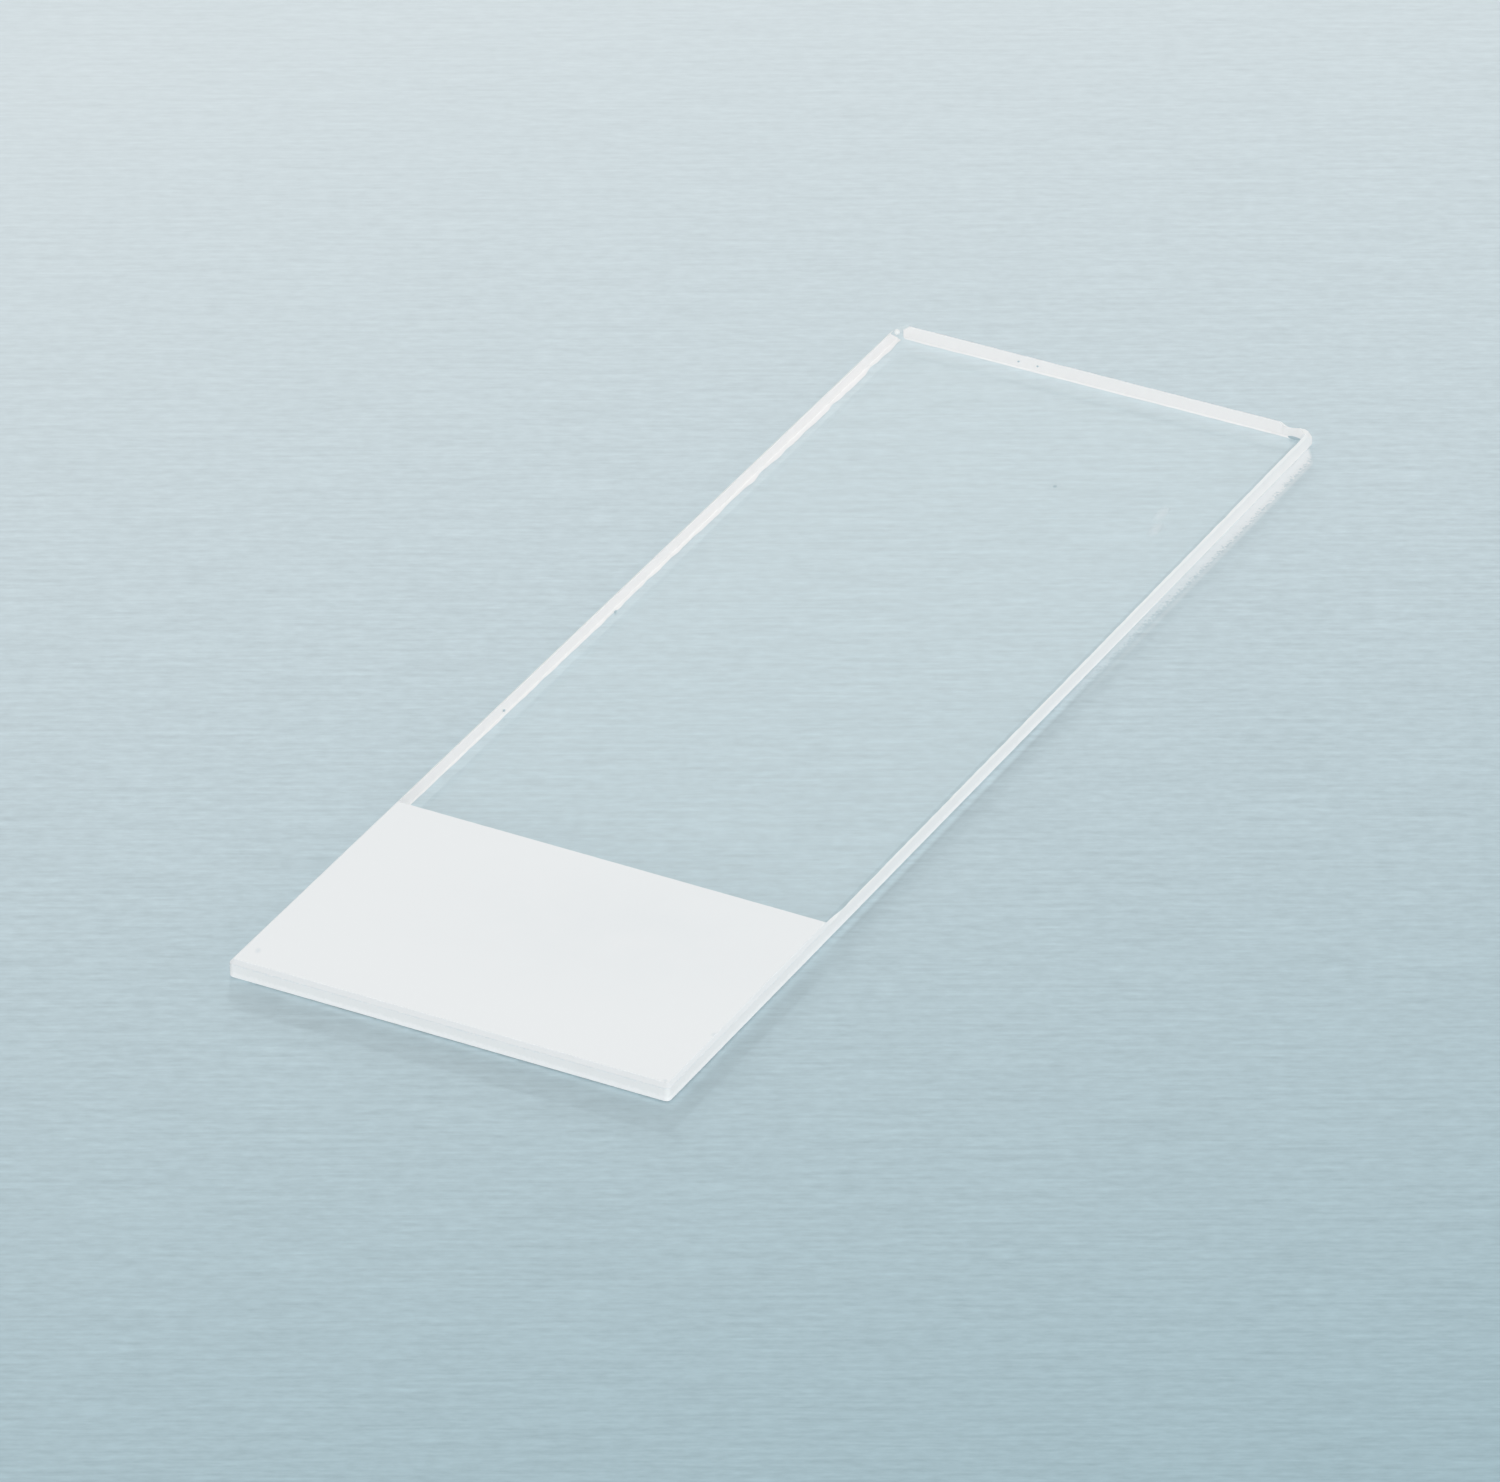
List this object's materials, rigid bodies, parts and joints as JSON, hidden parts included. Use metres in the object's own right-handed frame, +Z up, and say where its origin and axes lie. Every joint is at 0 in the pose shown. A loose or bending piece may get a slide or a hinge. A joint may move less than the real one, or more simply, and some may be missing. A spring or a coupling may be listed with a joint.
{
  "type": "microscope slide",
  "caption": "Flat glass microscope slide with ground and bevelled edges, clipped corners and a plain white marking field across one end of its top face.",
  "frame": {"origin": "centre of the underside, the face that lies on the stage", "axes": "+X along the slide's length, from the end with the marking field to the plain end; +Y across its width; +Z up, out of the face that carries the marking field"},
  "size_m": [0.076, 0.026, 0.001],
  "materials": {
    "glass_plate": "polished",
    "marking_coat": "matte"
  },
  "bodies": {
    "root": {"glass_plate": "glass_plate", "marking_coat": "marking_coat"}
  },
  "joints": []
}
